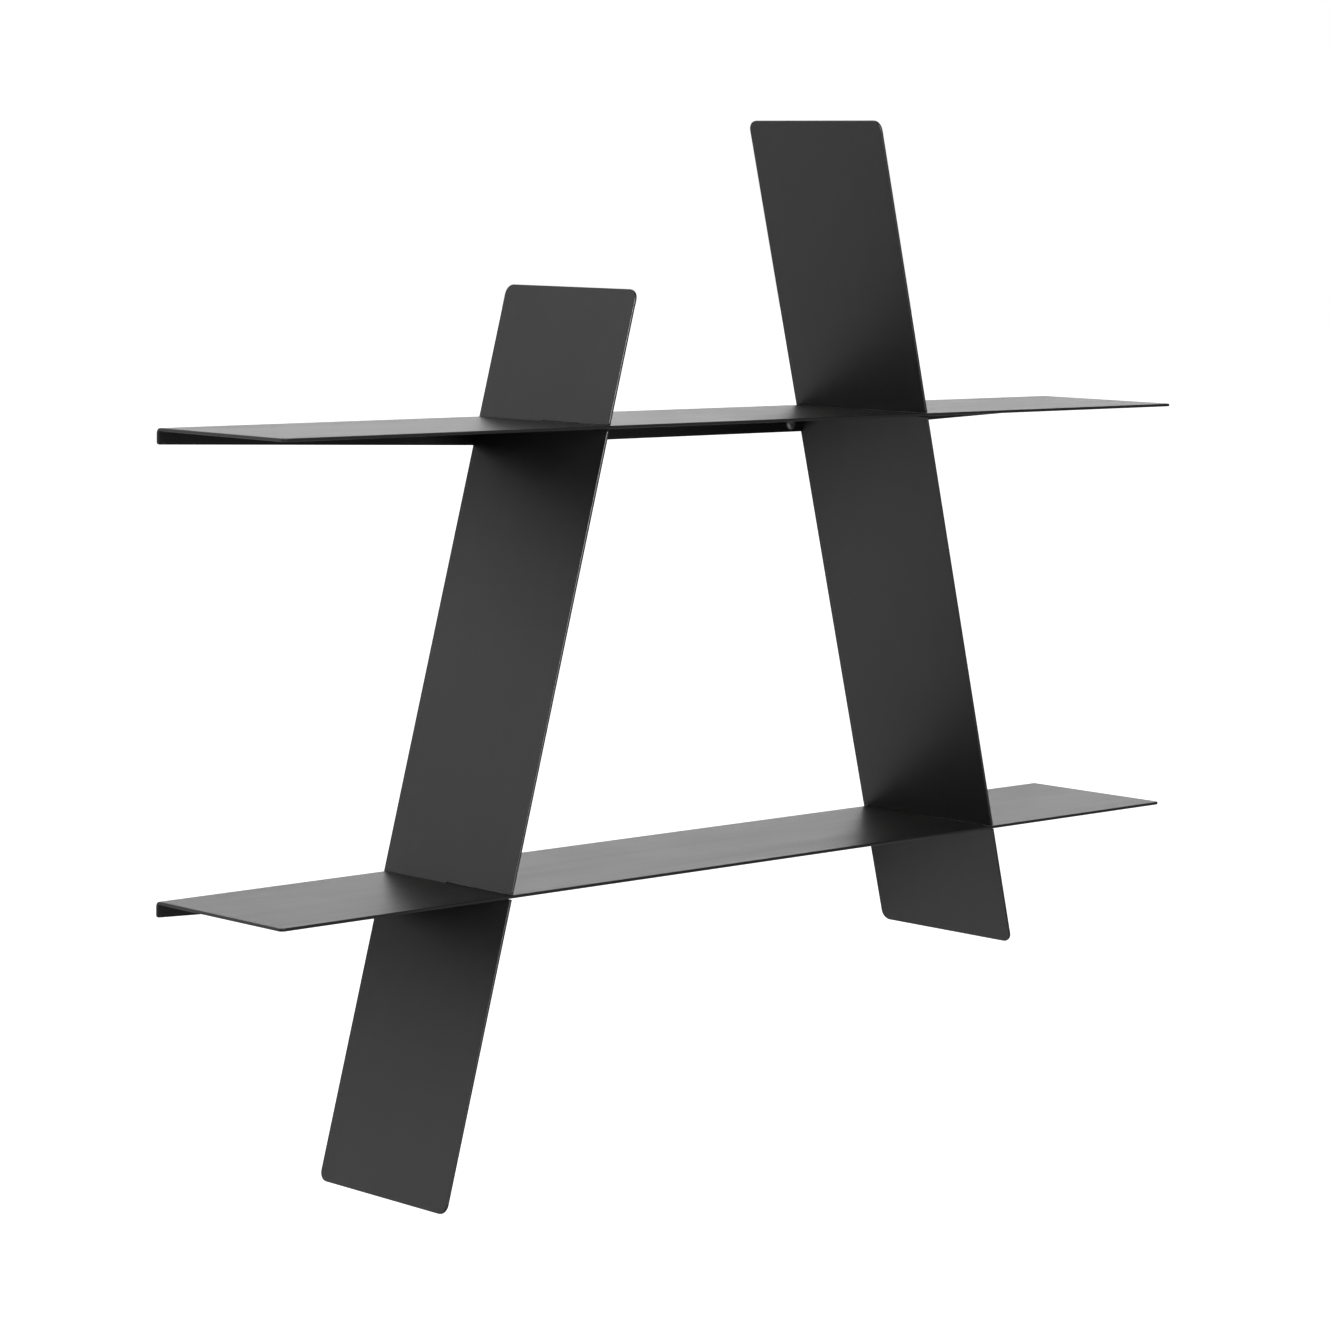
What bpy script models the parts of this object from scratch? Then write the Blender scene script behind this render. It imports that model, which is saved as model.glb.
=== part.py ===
"""Wall shelf of four sheet-steel plates: two long shelves slotted crosswise into two leaning uprights.

Seen from the front, X runs to the right, Y into the wall and Z up. The wall is the plane Y = 0.
The origin is on the wall, midway along the upper shelf at the height of its screws.
"""

import math

import bmesh
import bpy

# Sheet and overall sizes, in metres
SHEET = 0.0025
DEPTH = 0.150
SHELF_LENGTH = 1.000
SHELF_PITCH = 0.355
LEAN = math.radians(15)
UPRIGHT_SPACING = 0.361
SHORT_REACH = 0.104
LONG_REACH = 0.239

# Rear flange of a shelf, bent down against the wall
FLANGE_MIDDLE = 0.023
FLANGE_END = 0.0125
BEND_INSIDE = 0.0015
BEND_RELIEF = 0.0008

# Corners, edges and fits
SHELF_CORNER = 0.004
UPRIGHT_CORNER = 0.008
FLANGE_CORNER = 0.002
EDGE_ROUND = 0.0008
CLEARANCE = 0.0003

# Wall screws, one inside each upright in each flange
SCREW_DROP = 0.0155
SCREW_INSET = 0.015
SCREW_LENGTH = 0.030
SHANK_DIAMETER = 0.005
TIP_LENGTH = 0.005
HEAD_DIAMETER = 0.0104
HEAD_HEIGHT = 0.0034
HEAD_RIM = 0.0014
SOCKET_RADIUS = 0.0022
SOCKET_LOBE = 0.0003
SOCKET_LOBES = 6
SOCKET_DEPTH = 0.0022
SCREW_TURNS = (12, 37, 51, 24)

# Facets of the round forms
CORNER_STEPS = 6
BEND_STEPS = 8
DOME_STEPS = 8
TURN_STEPS = 32
LOBE_STEPS = 6
EDGE_STEPS = 3
SMOOTH_ANGLE = math.radians(30)
WELD = 1e-6

# How far a cutter stands out of what it cuts
OVERCUT = 0.004

# Colours, in linear light
PAINT_COLOUR = (0.020, 0.021, 0.022)
PAINT_ROUGHNESS = 0.42
SCREW_COLOUR = (0.045, 0.045, 0.047)
SCREW_ROUGHNESS = 0.35

# Worked out from the sizes above
UPPER_TOP = SCREW_DROP
LOWER_TOP = UPPER_TOP - SHELF_PITCH
SPREAD = math.tan(LEAN)
SLOPE = 1 / math.cos(LEAN)
CROSSING_WIDTH = SHEET * (SLOPE + SPREAD)
SLOT_WIDTH = CROSSING_WIDTH + 2 * CLEARANCE
OVERLAP_MIDDLE = DEPTH / 2
BEND_OUTSIDE = BEND_INSIDE + SHEET
RELIEF_REACH = BEND_OUTSIDE + SHEET / 2

# Turns that lay an outline drawn in its own X and Y into the part's axes
ALONG_SHELF = (math.pi / 2, 0, math.pi / 2)
FACING_FRONT = (math.pi / 2, 0, 0)
FLAT = (0, 0, 0)


def clear_scene():
    for item in list(bpy.data.objects):
        bpy.data.objects.remove(item, do_unlink=True)


def new_collection(name):
    collection = bpy.data.collections.new(name)
    bpy.context.scene.collection.children.link(collection)
    return collection


def principled(name, colour, roughness, metallic):
    material = bpy.data.materials.new(name)
    material.use_nodes = True
    shader = material.node_tree.nodes["Principled BSDF"]
    shader.inputs["Base Color"].default_value = (*colour, 1)
    shader.inputs["Roughness"].default_value = roughness
    shader.inputs["Metallic"].default_value = metallic
    material.diffuse_color = (*colour, 1)
    return material


def rounded(corners, steps):
    """The points of a closed outline whose corners, each (x, y, radius), are turned into arcs."""
    points = []
    for index, (x, y, radius) in enumerate(corners):
        if not radius:
            points.append((x, y))
            continue
        before = corners[index - 1]
        after = corners[(index + 1) % len(corners)]
        come = math.atan2(before[1] - y, before[0] - x)
        go = math.atan2(after[1] - y, after[0] - x)
        turn = (go - come + math.pi) % (2 * math.pi) - math.pi
        middle = come + turn / 2
        reach = radius / math.sin(abs(turn) / 2)
        centre = (x + reach * math.cos(middle), y + reach * math.sin(middle))
        swing = math.copysign(math.pi - abs(turn), -turn)
        first = middle + math.pi - swing / 2
        for step in range(steps + 1):
            angle = first + swing * step / steps
            points.append((centre[0] + radius * math.cos(angle), centre[1] + radius * math.sin(angle)))
    return points


def prism(name, points, thickness, collection, location=(0, 0, 0), rotation=FLAT):
    """A flat outline filled and given its thickness, half to each side, as a mesh object."""
    curve = bpy.data.curves.new(name, "CURVE")
    curve.dimensions = "2D"
    curve.fill_mode = "BOTH"
    curve.extrude = thickness / 2
    spline = curve.splines.new("POLY")
    spline.points.add(len(points) - 1)
    for point, (x, y) in zip(spline.points, points):
        point.co = (x, y, 0, 1)
    spline.use_cyclic_u = True
    outline = bpy.data.objects.new(name + "_outline", curve)
    outline.location = location
    outline.rotation_euler = rotation
    collection.objects.link(outline)
    item = baked(outline, name, collection)
    bpy.data.curves.remove(curve)
    return item


def baked(source, name, collection):
    """A mesh object with the evaluated shape of the source, whose place it takes."""
    bpy.context.view_layer.update()
    evaluated = source.evaluated_get(bpy.context.evaluated_depsgraph_get())
    mesh = bpy.data.meshes.new_from_object(evaluated)
    mesh.name = name
    work = bmesh.new()
    work.from_mesh(mesh)
    bmesh.ops.remove_doubles(work, verts=work.verts, dist=WELD)
    work.to_mesh(mesh)
    work.free()
    placing = source.matrix_world.copy()
    bpy.data.objects.remove(source, do_unlink=True)
    item = bpy.data.objects.new(name, mesh)
    item.matrix_world = placing
    collection.objects.link(item)
    return item


def box_cutter(name, low, high, rotation=FLAT, about=(0, 0, 0)):
    """A box from low to high in its own axes, turned about a point of the part."""
    bpy.ops.mesh.primitive_cube_add(size=1)
    item = bpy.context.object
    item.name = name
    for vertex in item.data.vertices:
        for axis in range(3):
            vertex.co[axis] = high[axis] if vertex.co[axis] > 0 else low[axis]
    item.location = about
    item.rotation_euler = rotation
    return as_cutter(item)


def as_cutter(item):
    for holder in list(item.users_collection):
        holder.objects.unlink(item)
    cutters.objects.link(item)
    item.hide_render = True
    item.display_type = "WIRE"
    return item


def combine(item, tool, operation):
    modifier = item.modifiers.new(tool.name, "BOOLEAN")
    modifier.operation = operation
    modifier.solver = "EXACT"
    modifier.object = tool


def round_edges(item):
    modifier = item.modifiers.new("edge_round", "BEVEL")
    modifier.width = EDGE_ROUND
    modifier.segments = EDGE_STEPS
    modifier.limit_method = "ANGLE"
    modifier.angle_limit = SMOOTH_ANGLE
    modifier.use_clamp_overlap = False


def upright_x(side, drop):
    """Where an upright's middle plane is, a given height below the upper shelf's top face."""
    return side * (UPRIGHT_SPACING / 2 + drop * SPREAD)


def shelf(name, top):
    """A plate bent down at the rear, slotted from the rear for both uprights and drilled for its screws."""
    drop = UPPER_TOP - top
    place = (0, 0, top)
    half = SHELF_LENGTH / 2
    front = -DEPTH - OVERCUT
    section = [
        (front, 0, 0),
        (0, 0, BEND_OUTSIDE),
        (0, -FLANGE_MIDDLE - OVERCUT, 0),
        (-SHEET, -FLANGE_MIDDLE - OVERCUT, 0),
        (-SHEET, -SHEET, BEND_INSIDE),
        (front, -SHEET, 0),
    ]
    plate = prism(name, rounded(section, BEND_STEPS), SHELF_LENGTH + 2 * OVERCUT, parts, place, ALONG_SHELF)
    shoulder = -DEPTH + SHELF_CORNER
    plan = [
        (-half - OVERCUT, shoulder, 0),
        (-half, shoulder, 0),
        (-half, -DEPTH, SHELF_CORNER),
        (half, -DEPTH, SHELF_CORNER),
        (half, shoulder, 0),
        (half + OVERCUT, shoulder, 0),
        (half + OVERCUT, OVERCUT, 0),
        (-half - OVERCUT, OVERCUT, 0),
    ]
    height = 2 * (FLANGE_MIDDLE + 2 * OVERCUT)
    blank = prism(name + "_plan", rounded(plan, CORNER_STEPS), height, cutters, place)
    taper = upright_x(1, drop + FLANGE_MIDDLE)
    face = [
        (-half, OVERCUT, 0),
        (-half, -FLANGE_END, FLANGE_CORNER),
        (-taper, -FLANGE_MIDDLE, 0),
        (taper, -FLANGE_MIDDLE, 0),
        (half, -FLANGE_END, FLANGE_CORNER),
        (half, OVERCUT, 0),
    ]
    through = 2 * (DEPTH + OVERCUT)
    flange = prism(name + "_face", rounded(face, CORNER_STEPS), through, cutters, place, FACING_FRONT)
    combine(plate, as_cutter(blank), "INTERSECT")
    combine(plate, as_cutter(flange), "INTERSECT")
    round_edges(plate)
    for side, word in ((-1, "left"), (1, "right")):
        for tool in crossing_cutters(name + "_" + word, side, drop):
            combine(plate, tool, "DIFFERENCE")
        combine(plate, screw_hole(name + "_" + word, side, drop), "DIFFERENCE")
    return plate


def crossing_cutters(name, side, drop):
    """An upright takes out of a shelf a slot square to the plate, a relief at the bend and a slanted slot."""
    top = UPPER_TOP - drop
    slot_x = upright_x(side, drop + SHEET / 2)
    slot = box_cutter(
        name + "_slot",
        (-SLOT_WIDTH / 2, -OVERLAP_MIDDLE - CLEARANCE / 2, -SHEET - OVERCUT),
        (SLOT_WIDTH / 2, -BEND_OUTSIDE, OVERCUT),
        about=(slot_x, 0, top),
    )
    relief_x = upright_x(side, drop + RELIEF_REACH / 2)
    relief_half = (SHEET * SLOPE + RELIEF_REACH * SPREAD) / 2 + BEND_RELIEF
    relief = box_cutter(
        name + "_relief",
        (-relief_half, -RELIEF_REACH, -RELIEF_REACH),
        (relief_half, OVERCUT, OVERCUT),
        about=(relief_x, 0, top),
    )
    slant = box_cutter(
        name + "_slant",
        (-SHEET / 2 - CLEARANCE, -BEND_OUTSIDE, -FLANGE_MIDDLE * SLOPE - OVERCUT),
        (SHEET / 2 + CLEARANCE, OVERCUT, -BEND_OUTSIDE),
        rotation=(0, -side * LEAN, 0),
        about=(upright_x(side, drop), 0, top),
    )
    return slot, relief, slant


def screw_x(side, drop):
    return upright_x(side, drop + SCREW_DROP) - side * SCREW_INSET


def screw_hole(name, side, drop):
    bpy.ops.mesh.primitive_cylinder_add(
        vertices=TURN_STEPS,
        radius=SHANK_DIAMETER / 2 + CLEARANCE,
        depth=2 * (SHEET + OVERCUT),
        location=(screw_x(side, drop), 0, UPPER_TOP - drop - SCREW_DROP),
        rotation=FACING_FRONT,
    )
    bpy.context.object.name = name + "_hole"
    return as_cutter(bpy.context.object)


def upright(name, side, reach_up, reach_down):
    """A flat plate with round corners and two slots from the front, where the shelves pass through."""
    high = (reach_up + SHEET / 2) * SLOPE
    low = -(SHELF_PITCH + reach_down - SHEET / 2) * SLOPE
    outline = [
        (-DEPTH, low, UPRIGHT_CORNER),
        (0, low, UPRIGHT_CORNER),
        (0, high, UPRIGHT_CORNER),
        (-DEPTH, high, UPRIGHT_CORNER),
    ]
    place = (upright_x(side, SHEET / 2), 0, UPPER_TOP - SHEET / 2)
    turn = (math.pi / 2 - side * LEAN, 0, math.pi / 2)
    plate = prism(name, rounded(outline, CORNER_STEPS), SHEET, parts, place, turn)
    round_edges(plate)
    for word, centre in (("upper", 0), ("lower", -SHELF_PITCH * SLOPE)):
        slot = box_cutter(
            name + "_" + word + "_slot",
            (-DEPTH - OVERCUT, centre - SLOT_WIDTH / 2, -SHEET / 2 - OVERCUT),
            (-OVERLAP_MIDDLE + CLEARANCE / 2, centre + SLOT_WIDTH / 2, SHEET / 2 + OVERCUT),
            rotation=turn,
            about=place,
        )
        combine(plate, slot, "DIFFERENCE")
    return plate


def screw_profile():
    """Half of the screw's outline, from the top of its domed head down its outer side to the tip."""
    head = HEAD_DIAMETER / 2
    shank = SHANK_DIAMETER / 2
    dome = HEAD_HEIGHT - HEAD_RIM
    points = []
    for step in range(DOME_STEPS + 1):
        angle = math.pi / 2 * step / DOME_STEPS
        points.append((head * math.sin(angle), HEAD_RIM + dome * math.cos(angle)))
    points.append((head, 0))
    points.append((shank, 0))
    points.append((shank, TIP_LENGTH - SCREW_LENGTH))
    points.append((0, -SCREW_LENGTH))
    return points


def turned(name, profile, collection):
    """A profile in X and Z spun round Z."""
    mesh = bpy.data.meshes.new(name + "_profile")
    points = [(x, 0, z) for x, z in profile]
    lines = [(index, index + 1) for index in range(len(points) - 1)]
    mesh.from_pydata(points, lines, [])
    item = bpy.data.objects.new(name + "_turned", mesh)
    collection.objects.link(item)
    modifier = item.modifiers.new("turn", "SCREW")
    modifier.steps = TURN_STEPS
    modifier.render_steps = TURN_STEPS
    modifier.use_merge_vertices = True
    modifier.merge_threshold = WELD
    return item


def socket_outline():
    """The six-lobed outline of the screw's socket."""
    points = []
    count = SOCKET_LOBES * LOBE_STEPS
    for step in range(count):
        angle = 2 * math.pi * step / count
        radius = SOCKET_RADIUS + SOCKET_LOBE * math.cos(SOCKET_LOBES * angle)
        points.append((radius * math.cos(angle), radius * math.sin(angle)))
    return points


def screw_mesh():
    """The pan-head screw, its head along +Z from Z = 0, with a six-lobed socket in the head."""
    blank = baked(turned("screw", screw_profile(), cutters), "screw_blank", cutters)
    socket = prism("screw_socket", socket_outline(), 2 * SOCKET_DEPTH, cutters, (0, 0, HEAD_HEIGHT))
    combine(blank, socket, "DIFFERENCE")
    screw = baked(blank, "screw", cutters)
    mesh = screw.data
    bpy.data.objects.remove(screw, do_unlink=True)
    bpy.data.objects.remove(socket, do_unlink=True)
    mesh.shade_smooth()
    mesh.set_sharp_from_angle(angle=SMOOTH_ANGLE)
    return mesh


def screw(name, mesh, side, drop, turn):
    item = bpy.data.objects.new(name, mesh)
    parts.objects.link(item)
    item.location = (screw_x(side, drop), -SHEET - CLEARANCE, UPPER_TOP - drop - SCREW_DROP)
    item.rotation_euler = (math.pi / 2, math.radians(turn), 0)
    return item


def make_shelf_unit():
    root = bpy.data.objects.new("wall_shelf_origin", None)
    parts.objects.link(root)
    plates = [
        shelf("upper_shelf", UPPER_TOP),
        shelf("lower_shelf", LOWER_TOP),
        upright("left_upright", -1, SHORT_REACH, LONG_REACH),
        upright("right_upright", 1, LONG_REACH, SHORT_REACH),
    ]
    for plate in plates:
        plate.data.materials.append(principled(plate.name + "_paint", PAINT_COLOUR, PAINT_ROUGHNESS, 0))
    mesh = screw_mesh()
    mesh.materials.append(principled("screw_black_zinc", SCREW_COLOUR, SCREW_ROUGHNESS, 1))
    screws = []
    places = [("upper", 0, "left", -1), ("upper", 0, "right", 1)]
    places += [("lower", SHELF_PITCH, "left", -1), ("lower", SHELF_PITCH, "right", 1)]
    for (level, drop, word, side), turn in zip(places, SCREW_TURNS):
        screws.append(screw(level + "_" + word + "_screw", mesh, side, drop, turn))
    for item in plates + screws:
        item.parent = root


clear_scene()
parts = new_collection("wall_shelf")
cutters = new_collection("cutters")
make_shelf_unit()
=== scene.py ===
"""The looks of the wall shelf: satin black powder coat on slotted sheet metal, in a plain white studio."""

import math

import bmesh
import bpy
from mathutils import Euler, Matrix, Vector


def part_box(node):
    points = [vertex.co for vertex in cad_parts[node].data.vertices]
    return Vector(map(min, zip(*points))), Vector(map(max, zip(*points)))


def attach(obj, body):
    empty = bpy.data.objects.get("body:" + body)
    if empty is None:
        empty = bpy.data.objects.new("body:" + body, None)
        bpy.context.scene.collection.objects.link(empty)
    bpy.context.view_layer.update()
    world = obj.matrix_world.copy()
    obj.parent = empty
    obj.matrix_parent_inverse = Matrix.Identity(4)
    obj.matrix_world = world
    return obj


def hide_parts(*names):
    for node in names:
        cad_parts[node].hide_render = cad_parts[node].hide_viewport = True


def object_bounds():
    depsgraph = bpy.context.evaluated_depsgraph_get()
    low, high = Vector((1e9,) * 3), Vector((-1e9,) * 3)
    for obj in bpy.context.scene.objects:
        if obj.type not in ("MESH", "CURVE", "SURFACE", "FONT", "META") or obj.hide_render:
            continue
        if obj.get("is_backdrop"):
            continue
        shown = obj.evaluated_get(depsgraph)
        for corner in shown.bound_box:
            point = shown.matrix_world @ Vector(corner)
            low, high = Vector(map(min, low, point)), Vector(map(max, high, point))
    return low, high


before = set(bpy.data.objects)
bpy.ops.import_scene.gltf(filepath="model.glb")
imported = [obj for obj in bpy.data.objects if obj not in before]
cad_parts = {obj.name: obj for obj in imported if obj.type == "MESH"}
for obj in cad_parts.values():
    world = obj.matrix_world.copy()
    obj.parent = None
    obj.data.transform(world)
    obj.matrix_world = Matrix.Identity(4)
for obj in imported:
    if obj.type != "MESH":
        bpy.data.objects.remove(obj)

SHELVES = ("upper_shelf", "lower_shelf")
UPRIGHTS = ("left_upright", "right_upright")
SCREWS = ("upper_left_screw", "upper_right_screw", "lower_left_screw", "lower_right_screw")

# The camera, in metres, radians and millimetres
CAMERA_PLACE = (-2.3383, -2.4399, 0.1971)
CAMERA_YAW = 0.77012
CAMERA_PITCH = -0.11574
CAMERA_ROLL = 0.01554
SENSOR = 36.0
LENS = 110.94

# The studio, in metres and watts. A place is an azimuth and an elevation in degrees, where azimuth 0 is the
# front and 90 the right. A panel is an azimuth, an elevation and a level.
PANELS = ((-120, 40, 0.62), (-135, 5, 0.52), (135, 5, 1.45), (45, 10, 0.42))
PANEL_SHARPNESS = 8
AMBIENT = 0.1
LIGHT_DISTANCE = 3.0
SOFTBOX_PLACE = (-20, 26)
SOFTBOX_SIDE = 1.8
SOFTBOX_POWER = 82.0
EDGE_LIGHT_PLACE = (-16, 12)
EDGE_LIGHT_SIDE = 0.6
EDGE_LIGHT_POWER = 120.0
WALL_COLOUR = (0.64, 0.64, 0.64, 1)
WALL_GAP = 0.002
FLOOR_DROP = 0.50
FLOOR_SIDE = 60.0
FLOOR_COLOUR = (0.7, 0.7, 0.7, 1)
FLOOR_LIFT = 0.66
FLOOR_FADE = (0.6, 1.8)

# The plates: how they are cut and shaded, and how far the uprights' slots settle on the shelves' tops
WELD = 1e-6
CORNER_CUT = 0.0015
SHORTEST_STRETCH = 3 * CORNER_CUT
SHELF_AXIS = 0
UPRIGHT_AXIS = 2
FLAT_ANGLE = math.radians(1)
SMOOTH_ANGLE = math.radians(50)
SETTLING = 0.00027
SLOT_WALL_FACING = 0.9
END_MARGIN = 0.02

# The finishes: noises are a scale per metre and a detail; colours and roughness change between two values
COAT_COLOURS = ((0.0035, 0.0034, 0.0033, 1), (0.0055, 0.0054, 0.0052, 1))
COAT_ROUGHNESS = (0.345, 0.425)
COAT_PATCHES = (14, 5)
COAT_STREAKS = (60, 3)
STREAK_DEPTH = 0.07
ALONG_SHELF = (0.06, 1, 1)
ALONG_UPRIGHT = (1, 1, 0.06)
COAT_SMUDGES = (14, 2)
SMUDGE_EDGES = (0.5, 0.8)
SMUDGE_DEPTH = 0.03
COAT_GRAIN = (1400, 2)
COAT_BUMP = 0.25
GRAIN_HEIGHT = 0.0001
ZINC_COLOURS = ((0.26, 0.26, 0.265, 1), (0.38, 0.38, 0.385, 1))
ZINC_ROUGHNESS = (0.4, 0.52)
ZINC_CLOUDS = (700, 4)
ZINC_GRAIN = (4000, 2)
ZINC_BUMP = 0.2

# The pan-head screws, whose length, place and head diameter come from the frame
HEAD_HEIGHT = 0.0034
HEAD_RIM = 0.0014
RIM_ROUND = 0.0003
SOCKET_RADIUS = 0.0022
SOCKET_LOBE = 0.0003
SOCKET_LOBES = 6
SOCKET_DEPTH = 0.0022
SOCKET_CONE = 0.0005
SOCKET_BEVEL = 0.00012
SOCKET_FLOOR_SHARES = (0.35, 0.7)
NECK_RADIUS = 0.0018
CORE_RADIUS = 0.00155
CREST_RADIUS = 0.0025
THREAD_START = 0.0038
THREAD_PITCH = 0.0024
RIDGE_SHARE = 0.3
TIP_LENGTH = 0.005
TIP_RADIUS = 0.00008
SCREW_TURNS = (12, 37, 51, 24)
AROUND = 72
DOME_ROWS = 8
RIM_ROWS = 3
THREAD_ROWS = 10
SCREW_SMOOTH_ANGLE = math.radians(40)


def direction(azimuth, elevation):
    """The unit vector towards a place in the studio, from angles in degrees."""
    level = math.cos(math.radians(elevation))
    side = level * math.sin(math.radians(azimuth))
    ahead = -level * math.cos(math.radians(azimuth))
    return Vector((side, ahead, math.sin(math.radians(elevation))))


def make_camera():
    data = bpy.data.cameras.new("camera")
    data.sensor_width = SENSOR
    data.lens = LENS
    item = bpy.data.objects.new("camera", data)
    bpy.context.scene.collection.objects.link(item)
    turn = Euler((math.pi / 2 + CAMERA_PITCH, 0, -CAMERA_YAW)).to_matrix()
    turn = turn @ Matrix.Rotation(CAMERA_ROLL, 3, "Z")
    item.matrix_world = Matrix.Translation(CAMERA_PLACE) @ turn.to_4x4()
    bpy.context.scene.camera = item


def maths(tree, operation, *values):
    """A Math node whose inputs are numbers or other nodes' outputs."""
    node = tree.nodes.new("ShaderNodeMath")
    node.operation = operation
    for socket, value in zip(node.inputs, values):
        if isinstance(value, (int, float)):
            socket.default_value = value
        else:
            tree.links.new(value, socket)
    return node.outputs[0]


def make_world():
    """White to the camera. Other rays see soft bright panels, and diffuse ones a low level all round."""
    world = bpy.data.worlds.new("studio")
    bpy.context.scene.world = world
    world.use_nodes = True
    tree = world.node_tree
    background = tree.nodes["Background"]
    rays = tree.nodes.new("ShaderNodeLightPath").outputs
    place = tree.nodes.new("ShaderNodeTexCoord")
    light = maths(tree, "MULTIPLY", rays["Is Diffuse Ray"], AMBIENT)
    for azimuth, elevation, level in PANELS:
        facing = tree.nodes.new("ShaderNodeVectorMath")
        facing.operation = "DOT_PRODUCT"
        facing.inputs[1].default_value = direction(azimuth, elevation)
        tree.links.new(place.outputs["Generated"], facing.inputs[0])
        near = maths(tree, "MAXIMUM", facing.outputs["Value"], 0)
        glow = maths(tree, "POWER", near, PANEL_SHARPNESS)
        light = maths(tree, "MULTIPLY_ADD", glow, level, light)
    seen = tree.nodes.new("ShaderNodeMix")
    seen.inputs["B"].default_value = 1
    tree.links.new(rays["Is Camera Ray"], seen.inputs["Factor"])
    tree.links.new(light, seen.inputs["A"])
    tree.links.new(seen.outputs["Result"], background.inputs["Strength"])
    background.inputs["Color"].default_value = (1, 1, 1, 1)


def area_light(name, place, side, power):
    """A square light at a place in the studio, turned towards the frame's origin."""
    data = bpy.data.lights.new(name, "AREA")
    data.shape = "SQUARE"
    data.size = side
    data.energy = power
    item = bpy.data.objects.new(name, data)
    bpy.context.scene.collection.objects.link(item)
    away = direction(*place)
    item.location = away * LIGHT_DISTANCE
    item.rotation_mode = "QUATERNION"
    item.rotation_quaternion = away.to_track_quat("Z", "Y")
    return item


def make_edge_light():
    """A light for the uprights and the screws alone, seen only as a glint in their reflections."""
    item = area_light("edge_light", EDGE_LIGHT_PLACE, EDGE_LIGHT_SIDE, EDGE_LIGHT_POWER)
    item.visible_diffuse = False
    glinting = bpy.data.collections.new("glinting")
    for name in [node + "_plate" for node in UPRIGHTS] + [node + "_threaded" for node in SCREWS]:
        glinting.objects.link(bpy.data.objects[name])
    item.light_linking.receiver_collection = glinting


def backdrop(name):
    """A large level plane that isn't part of the object, with a material that has no shader yet."""
    mesh = bpy.data.meshes.new(name)
    work = bmesh.new()
    bmesh.ops.create_grid(work, x_segments=1, y_segments=1, size=FLOOR_SIDE / 2)
    work.to_mesh(mesh)
    work.free()
    item = bpy.data.objects.new(name, mesh)
    bpy.context.scene.collection.objects.link(item)
    material = bpy.data.materials.new(name)
    material.use_nodes = True
    material.node_tree.nodes.remove(material.node_tree.nodes["Principled BSDF"])
    mesh.materials.append(material)
    item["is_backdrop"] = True
    return item, material.node_tree


def diffuse_plus(tree, colour, other):
    """A matt colour with another shader's light added to it."""
    diffuse = tree.nodes.new("ShaderNodeBsdfDiffuse")
    diffuse.inputs["Color"].default_value = colour
    both = tree.nodes.new("ShaderNodeAddShader")
    tree.links.new(diffuse.outputs[0], both.inputs[0])
    tree.links.new(other.outputs[0], both.inputs[1])
    tree.links.new(both.outputs[0], tree.nodes["Material Output"].inputs["Surface"])


def make_floor():
    """A pale floor below the shelf, lifted for the camera so that it fades into the white all round."""
    item, tree = backdrop("floor")
    item.location.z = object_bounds()[0].z - FLOOR_DROP
    rays = tree.nodes.new("ShaderNodeLightPath").outputs
    glow = tree.nodes.new("ShaderNodeEmission")
    place = tree.nodes.new("ShaderNodeTexCoord")
    away = tree.nodes.new("ShaderNodeVectorMath")
    away.operation = "LENGTH"
    tree.links.new(place.outputs["Object"], away.inputs[0])
    fade = tree.nodes.new("ShaderNodeMapRange")
    fade.inputs["From Min"].default_value, fade.inputs["From Max"].default_value = FLOOR_FADE
    fade.inputs["To Min"].default_value = FLOOR_LIFT
    tree.links.new(away.outputs["Value"], fade.inputs["Value"])
    lift = maths(tree, "MULTIPLY", rays["Is Camera Ray"], fade.outputs["Result"])
    tree.links.new(lift, glow.inputs["Strength"])
    diffuse_plus(tree, FLOOR_COLOUR, glow)


def make_wall():
    """The wall that the shelf hangs on: only reflections show it, and the panels behind show through it."""
    item, tree = backdrop("wall")
    item.location.y = WALL_GAP
    item.rotation_euler = (math.pi / 2, 0, 0)
    item.visible_camera = False
    item.visible_diffuse = False
    item.visible_shadow = False
    item.visible_transmission = False
    diffuse_plus(tree, WALL_COLOUR, tree.nodes.new("ShaderNodeBsdfTransparent"))


def noise(tree, scale, detail, stretch=(1, 1, 1)):
    """A noise texture in metres over the object, stretched along its axes."""
    nodes = tree.nodes
    place = nodes.new("ShaderNodeTexCoord")
    mapping = nodes.new("ShaderNodeMapping")
    mapping.inputs["Scale"].default_value = stretch
    texture = nodes.new("ShaderNodeTexNoise")
    texture.inputs["Scale"].default_value = scale
    texture.inputs["Detail"].default_value = detail
    tree.links.new(place.outputs["Object"], mapping.inputs["Vector"])
    tree.links.new(mapping.outputs["Vector"], texture.inputs["Vector"])
    return texture.outputs["Fac"]


def spread(tree, value, source, target):
    """A value taken from one range to another, without going beyond it."""
    node = tree.nodes.new("ShaderNodeMapRange")
    node.inputs["From Min"].default_value, node.inputs["From Max"].default_value = source
    node.inputs["To Min"].default_value, node.inputs["To Max"].default_value = target
    tree.links.new(value, node.inputs["Value"])
    return node.outputs["Result"]


def tinted(tree, share, colours):
    """A colour between two, by a share that changes over the surface."""
    node = tree.nodes.new("ShaderNodeMix")
    node.data_type = "RGBA"
    node.inputs["A"].default_value, node.inputs["B"].default_value = colours
    tree.links.new(share, node.inputs["Factor"])
    return node.outputs["Result"]


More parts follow.
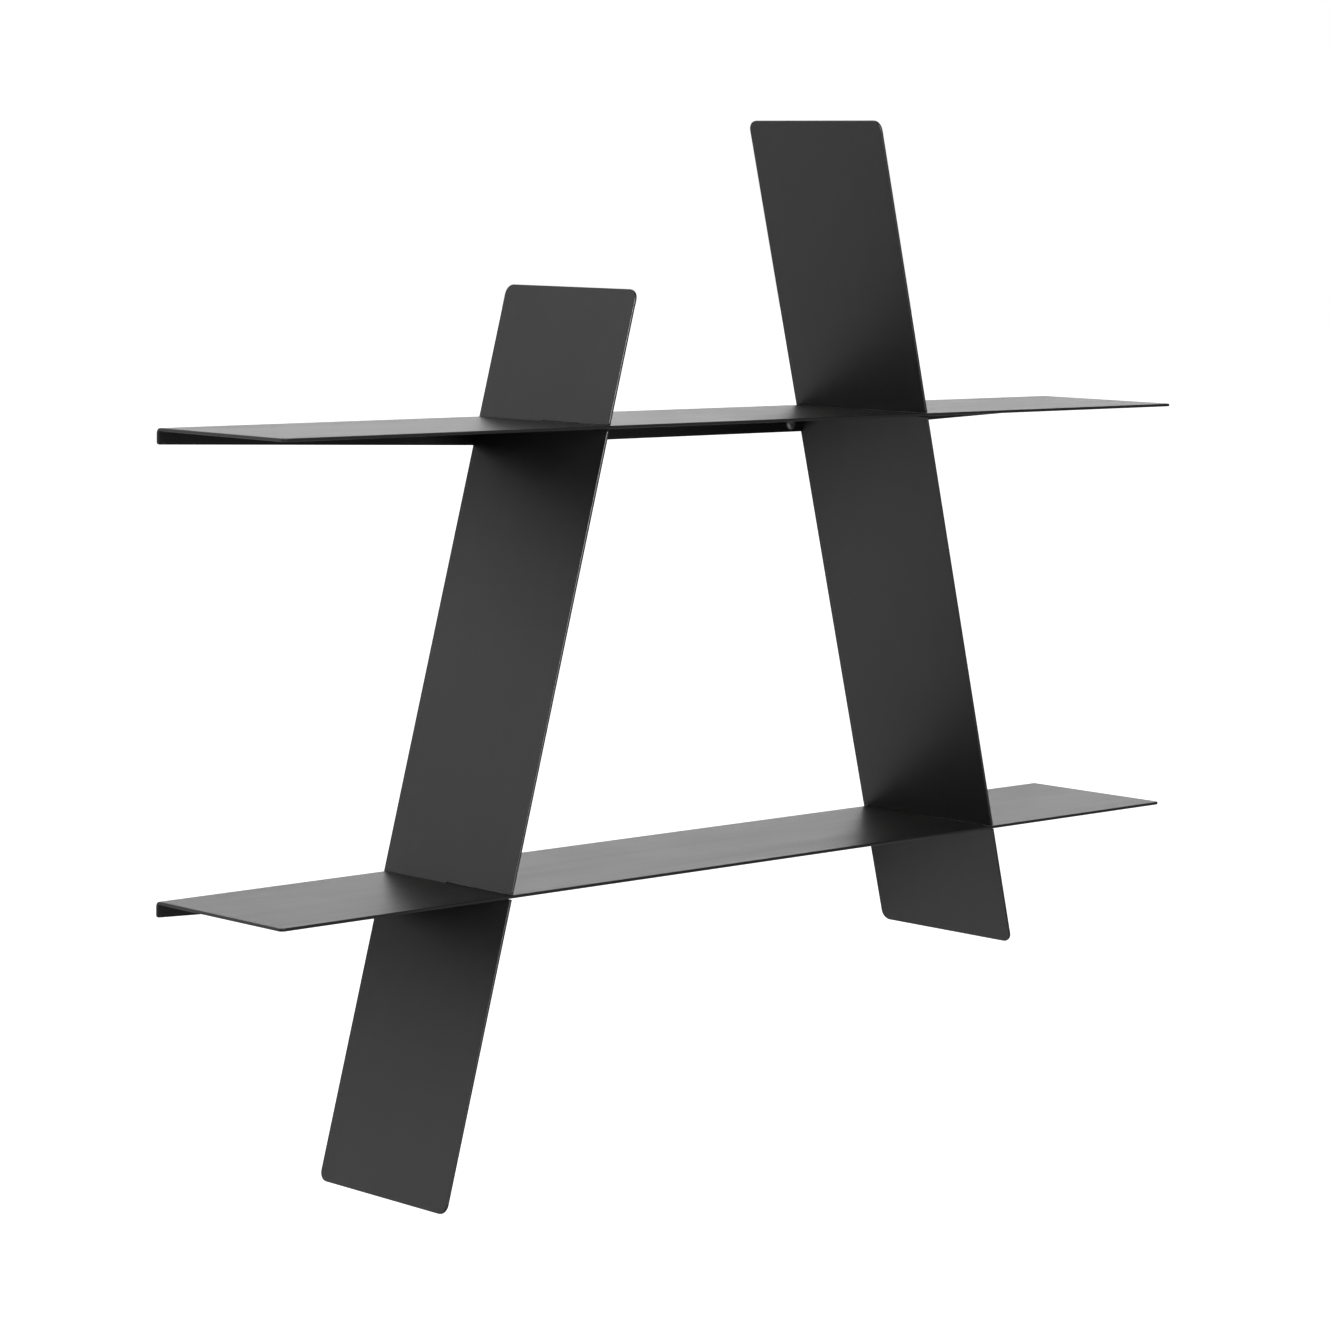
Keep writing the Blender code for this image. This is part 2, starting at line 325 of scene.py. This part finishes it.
def bumped(tree, height, strength, distance):
    """The normal of a surface with a texture's relief."""
    node = tree.nodes.new("ShaderNodeBump")
    node.inputs["Strength"].default_value = strength
    node.inputs["Distance"].default_value = distance
    tree.links.new(height, node.inputs["Height"])
    return node.outputs["Normal"]


def powder_coat(name, stretch):
    """Fine-grained satin black powder coat, with faint streaks along the plate and faint handling marks."""
    material = bpy.data.materials.new(name)
    material.use_nodes = True
    tree = material.node_tree
    shader = tree.nodes["Principled BSDF"]
    patches = noise(tree, *COAT_PATCHES)
    streaks = noise(tree, *COAT_STREAKS, stretch)
    smudges = spread(tree, noise(tree, *COAT_SMUDGES), SMUDGE_EDGES, (0, -SMUDGE_DEPTH))
    rough = spread(tree, patches, (0, 1), COAT_ROUGHNESS)
    rough = maths(tree, "MULTIPLY_ADD", streaks, STREAK_DEPTH, rough)
    rough = maths(tree, "ADD", rough, smudges)
    tree.links.new(rough, shader.inputs["Roughness"])
    tree.links.new(tinted(tree, patches, COAT_COLOURS), shader.inputs["Base Color"])
    grain = bumped(tree, noise(tree, *COAT_GRAIN), COAT_BUMP, GRAIN_HEIGHT)
    tree.links.new(grain, shader.inputs["Normal"])
    return material


def black_zinc(name):
    """Satin black zinc, a little worn: a thin dark finish over steel that shines more than the coat."""
    material = bpy.data.materials.new(name)
    material.use_nodes = True
    tree = material.node_tree
    shader = tree.nodes["Principled BSDF"]
    shader.inputs["Metallic"].default_value = 1
    clouds = noise(tree, *ZINC_CLOUDS)
    tree.links.new(spread(tree, clouds, (0, 1), ZINC_ROUGHNESS), shader.inputs["Roughness"])
    tree.links.new(tinted(tree, clouds, ZINC_COLOURS), shader.inputs["Base Color"])
    grain = bumped(tree, noise(tree, *ZINC_GRAIN), ZINC_BUMP, GRAIN_HEIGHT)
    tree.links.new(grain, shader.inputs["Normal"])
    return material


def settle_slots(work, bottom):
    """The upper walls of an upright's slots close most of the clearance that the solids keep."""
    walls = [face for face in work.faces if face.normal.z < -SLOT_WALL_FACING]
    walls = [face for face in walls if face.calc_center_median().z > bottom + END_MARGIN]
    for vertex in {vertex for face in walls for vertex in face.verts}:
        wall = next(face for face in vertex.link_faces if face in walls)
        vertex.co += wall.normal * SETTLING


def cut_beside_corners(work, axis):
    """Short faces at both ends of each long stretch, so that a corner's bent normals stay beside it."""
    places = sorted({vertex.co[axis] for vertex in work.verts})
    across = Vector((0, 0, 0))
    across[axis] = 1
    for low, high in zip(places, places[1:]):
        if high - low < SHORTEST_STRETCH:
            continue
        for place in (low + CORNER_CUT, high - CORNER_CUT):
            whole = work.verts[:] + work.edges[:] + work.faces[:]
            bmesh.ops.bisect_plane(work, geom=whole, dist=WELD, plane_co=across * place, plane_no=across)


def smooth_plate(node):
    """A plate with its facets welded, its slots settled and its bends and rounded edges shaded smooth."""
    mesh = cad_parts[node].data.copy()
    mesh.materials.clear()
    work = bmesh.new()
    work.from_mesh(mesh)
    bmesh.ops.remove_doubles(work, verts=work.verts, dist=WELD)
    bmesh.ops.dissolve_limit(work, angle_limit=FLAT_ANGLE, verts=work.verts, edges=work.edges)
    if node in UPRIGHTS:
        settle_slots(work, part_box(node)[0].z)
    cut_beside_corners(work, UPRIGHT_AXIS if node in UPRIGHTS else SHELF_AXIS)
    work.to_mesh(mesh)
    work.free()
    mesh.shade_smooth()
    mesh.set_sharp_from_angle(angle=SMOOTH_ANGLE)
    piece = bpy.data.objects.new(node + "_plate", mesh)
    bpy.context.scene.collection.objects.link(piece)
    weights = piece.modifiers.new("flat_faces", "WEIGHTED_NORMAL")
    weights.keep_sharp = True
    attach(piece, "root")
    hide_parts(node)
    return piece


def dress_plates():
    for node in SHELVES:
        smooth_plate(node).data.materials.append(powder_coat(node + "_coat", ALONG_SHELF))
    for node in UPRIGHTS:
        smooth_plate(node).data.materials.append(powder_coat(node + "_coat", ALONG_UPRIGHT))


def ring(radius_at, height_at):
    """Points round the screw's axis, whose radius and height may change with the angle."""
    points = []
    for step in range(AROUND):
        angle = 2 * math.pi * step / AROUND
        radius = radius_at(angle)
        points.append((radius * math.cos(angle), radius * math.sin(angle), height_at(angle)))
    return points


def level_ring(radius, height):
    return ring(lambda angle: radius, lambda angle: height)


def lobed(angle):
    return SOCKET_RADIUS + SOCKET_LOBE * math.cos(SOCKET_LOBES * angle)


def socket_rings(mouth):
    """The socket's floor and wall, up to just under its mouth."""
    floor = HEAD_HEIGHT - SOCKET_DEPTH
    rings = []
    for share in SOCKET_FLOOR_SHARES:
        rings.append(ring(lambda angle: share * lobed(angle),
                          lambda angle: floor - SOCKET_CONE * (1 - share)))
    rings.append(ring(lambda angle: lobed(angle) - SOCKET_BEVEL, lambda angle: floor))
    rings.append(ring(lobed, lambda angle: floor + SOCKET_BEVEL))
    rings.append(ring(lobed, lambda angle: mouth(angle) - SOCKET_BEVEL))
    return rings


def head_rings(head):
    """From the middle of the socket over the dome and the rim to the neck under the head."""
    dome = HEAD_HEIGHT - HEAD_RIM

    def turn(angle, share):
        start = math.asin((lobed(angle) + SOCKET_BEVEL) / head)
        return start + share * (math.pi / 2 - start)

    rings = socket_rings(lambda angle: HEAD_RIM + dome * math.cos(turn(angle, 0)))
    for row in range(DOME_ROWS + 1):
        share = row / DOME_ROWS
        rings.append(ring(lambda angle: head * math.sin(turn(angle, share)),
                          lambda angle: HEAD_RIM + dome * math.cos(turn(angle, share))))
    for row in range(1, RIM_ROWS + 1):
        bend = math.pi / 2 * row / RIM_ROWS
        rings.append(level_ring(head - RIM_ROUND * (1 - math.cos(bend)), RIM_ROUND * (1 - math.sin(bend))))
    rings.append(level_ring(NECK_RADIUS + RIM_ROUND, 0))
    rings.append(level_ring(NECK_RADIUS, -RIM_ROUND))
    return rings


def thread_radius(row, turns, left):
    """The thread's radius at a row of its profile, some turns from its start and so far from the tip."""
    grown = min(max(turns - 1, 0), 1)
    thinned = min(left / TIP_LENGTH, 1)
    ridge = max(0, 1 - abs(row % THREAD_ROWS / THREAD_ROWS - 0.5) / RIDGE_SHARE)
    core = TIP_RADIUS + (CORE_RADIUS + (NECK_RADIUS - CORE_RADIUS) * (1 - grown) - TIP_RADIUS) * thinned
    return core + (CREST_RADIUS - CORE_RADIUS) * ridge * grown * math.sqrt(thinned)


def thread_columns(length):
    """Columns down the shank whose rows follow the helix: row THREAD_ROWS lies one turn below row 0."""
    rows = math.floor(((length - THREAD_START) / THREAD_PITCH - 1) * THREAD_ROWS)
    columns = []
    for step in range(AROUND):
        angle = 2 * math.pi * step / AROUND
        column = []
        for row in range(rows + 1):
            turns = row / THREAD_ROWS + step / AROUND
            drop = THREAD_START + turns * THREAD_PITCH
            radius = thread_radius(row, turns, length - drop)
            column.append((radius * math.cos(angle), radius * math.sin(angle), -drop))
        columns.append(column)
    return columns


def screw_mesh(head, length):
    """A closed pan-head screw along Z, its head above Z = 0: rings for the head, a helix for the thread."""
    work = bmesh.new()
    rings = [[work.verts.new(point) for point in points] for points in head_rings(head)]
    middle = work.verts.new((0, 0, HEAD_HEIGHT - SOCKET_DEPTH - SOCKET_CONE))
    columns = [[work.verts.new(point) for point in column] for column in thread_columns(length)]
    tip = work.verts.new((0, 0, -length))
    for step in range(AROUND):
        after = (step + 1) % AROUND
        work.faces.new((middle, rings[0][step], rings[0][after]))
        for inner, outer in zip(rings, rings[1:]):
            work.faces.new((inner[step], outer[step], outer[after], inner[after]))
    neck = rings[-1]
    for step in range(AROUND - 1):
        here, beside = columns[step], columns[step + 1]
        work.faces.new((neck[step], here[0], beside[0], neck[step + 1]))
        for row in range(len(here) - 1):
            work.faces.new((here[row], here[row + 1], beside[row + 1], beside[row]))
        work.faces.new((here[-1], tip, beside[-1]))
    first, end = columns[0], columns[-1]
    shared = len(end) - 1 - THREAD_ROWS
    work.faces.new([neck[-1], end[0]] + first[THREAD_ROWS::-1] + [neck[0]])
    for row in range(shared):
        work.faces.new((end[row], end[row + 1], first[row + 1 + THREAD_ROWS], first[row + THREAD_ROWS]))
    for row in range(shared, len(end) - 1):
        work.faces.new((end[row], end[row + 1], tip))
    work.faces.new((end[shared], tip, first[-1]))
    bmesh.ops.recalc_face_normals(work, faces=work.faces)
    mesh = bpy.data.meshes.new("screw")
    work.to_mesh(mesh)
    work.free()
    mesh.shade_smooth()
    mesh.set_sharp_from_angle(angle=SCREW_SMOOTH_ANGLE)
    return mesh


def dress_screws():
    low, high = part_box(SCREWS[0])
    mesh = screw_mesh((high.x - low.x) / 2, high.y - low.y - HEAD_HEIGHT)
    mesh.materials.append(black_zinc("screw_zinc"))
    for node, turn in zip(SCREWS, SCREW_TURNS):
        low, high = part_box(node)
        piece = bpy.data.objects.new(node + "_threaded", mesh)
        bpy.context.scene.collection.objects.link(piece)
        piece.location = ((low.x + high.x) / 2, low.y + HEAD_HEIGHT, (low.z + high.z) / 2)
        piece.rotation_euler = (math.pi / 2, math.radians(turn), 0)
        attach(piece, "root")
        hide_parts(node)


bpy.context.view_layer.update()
bpy.context.scene.view_settings.view_transform = "Standard"
make_camera()
make_world()
area_light("softbox", SOFTBOX_PLACE, SOFTBOX_SIDE, SOFTBOX_POWER)
make_floor()
make_wall()
dress_plates()
dress_screws()
make_edge_light()
